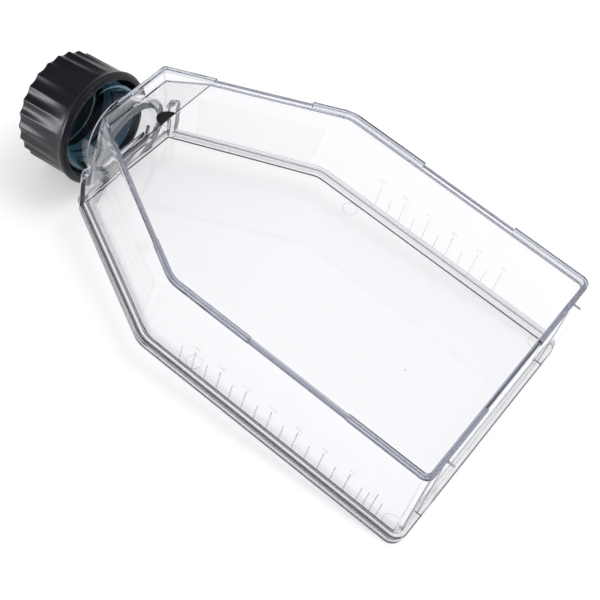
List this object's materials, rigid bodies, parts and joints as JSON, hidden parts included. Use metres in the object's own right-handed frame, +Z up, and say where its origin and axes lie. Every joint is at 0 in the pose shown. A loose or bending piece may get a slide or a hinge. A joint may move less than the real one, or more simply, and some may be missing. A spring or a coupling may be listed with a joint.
{
  "type": "cell culture flask",
  "caption": "Clear flat-sided 75 cm2 cell culture flask with tapered shoulders, a canted neck, a stacking rim and a black ribbed screw cap.",
  "frame": {"origin": "centre of the bounding box on the table that the flask lies on", "axes": "+Z up, -X towards the neck and cap, +X towards the flat base end, Y across the flask, which is symmetric about Y = 0 but for its rim's raised stretch on the front edge; the flask lies tipped by 3.9 degrees on its cover plate's far edge and its cap"},
  "size_m": [0.1578, 0.083, 0.0423],
  "materials": {
    "clear_body": "clear moulded polystyrene, glossy, with frosted writing panels on the shoulders",
    "clear_plate": "clear moulded polystyrene, glossy, with faint ejector rings",
    "black_cap": "black moulded plastic, satin gloss, fluted",
    "liner": "dark blue-green soft sealing disc, matte"
  },
  "bodies": {
    "flask": {"flask_body": "clear_body", "cover_plate": "clear_plate"},
    "liner": {"cap_liner": "liner"},
    "cap": {"screw_cap": "black_cap"}
  },
  "joints": [
    {"name": "cap_lift", "type": "slide", "parent": "flask", "child": "liner", "axis": [-0.9894, 0, -0.145], "range_m": [0, 0.016]},
    {"name": "cap_turn", "type": "hinge", "parent": "liner", "child": "cap", "pos_m": [-0.06618, 0, 0.01796], "axis": [-0.9894, 0, -0.145], "range_deg": [0, 1440]}
  ],
  "couplings": [
    {"joint": "cap_lift", "follows": "cap_turn", "m_per_rad": 0.00063662}
  ]
}
